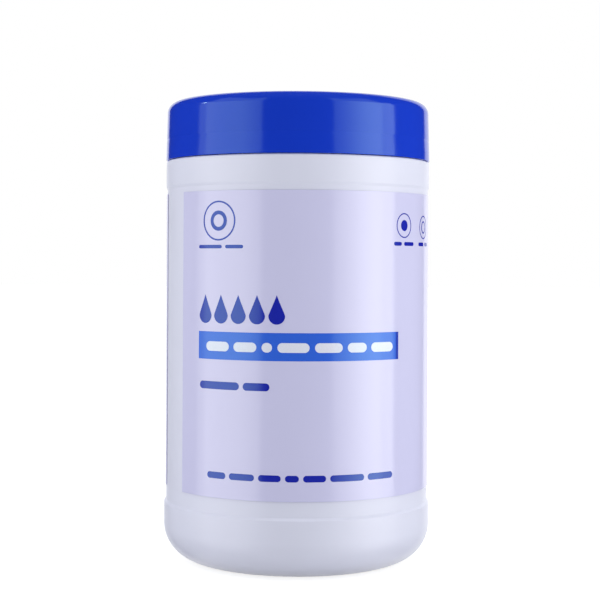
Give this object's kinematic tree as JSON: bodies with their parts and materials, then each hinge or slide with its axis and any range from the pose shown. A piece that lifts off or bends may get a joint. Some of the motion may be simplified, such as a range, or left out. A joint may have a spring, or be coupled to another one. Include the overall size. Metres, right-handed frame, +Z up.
{
  "type": "wet wipes canister",
  "caption": "Upright round canister of moist wipes with a recessed wrap label, a blue screw closure, a flush flip lid over a centre-pull opening, and the roll inside.",
  "frame": {"origin": "centre of the foot ring, on the surface that the canister stands on", "axes": "+Z up along the canister's axis; the label's front faces -Y; +X is to the viewer's right"},
  "size_m": [0.095, 0.095, 0.163],
  "materials": {
    "can_white": "semi-gloss blown polyethylene",
    "label_film": "gloss printed film",
    "closure_blue": "gloss moulded polypropylene",
    "lid_blue": "gloss moulded polypropylene",
    "seal_foam": "matte foam",
    "wipe_cloth": "moist nonwoven"
  },
  "bodies": {
    "canister": {"canister": "can_white", "label": "label_film", "wipes_roll": "wipe_cloth"},
    "sealing_ring": {"sealing_ring": "seal_foam"},
    "closure": {"closure": "closure_blue"},
    "flip_lid": {"flip_lid": "lid_blue"}
  },
  "joints": [
    {"name": "closure_lift", "type": "slide", "parent": "canister", "child": "sealing_ring", "axis": [0, 0, 1], "range_m": [0, 0.00636]},
    {"name": "closure_turn", "type": "hinge", "parent": "sealing_ring", "child": "closure", "pos_m": [0, 0, 0.15], "axis": [0, 0, 1], "range_deg": [0, 450]},
    {"name": "lid_hinge", "type": "hinge", "parent": "closure", "child": "flip_lid", "pos_m": [0, 0.033, 0.1608], "axis": [-1, 0, 0], "range_deg": [0, 110]}
  ],
  "couplings": [
    {"joint": "closure_lift", "follows": "closure_turn", "m_per_rad": 0.00080851}
  ]
}
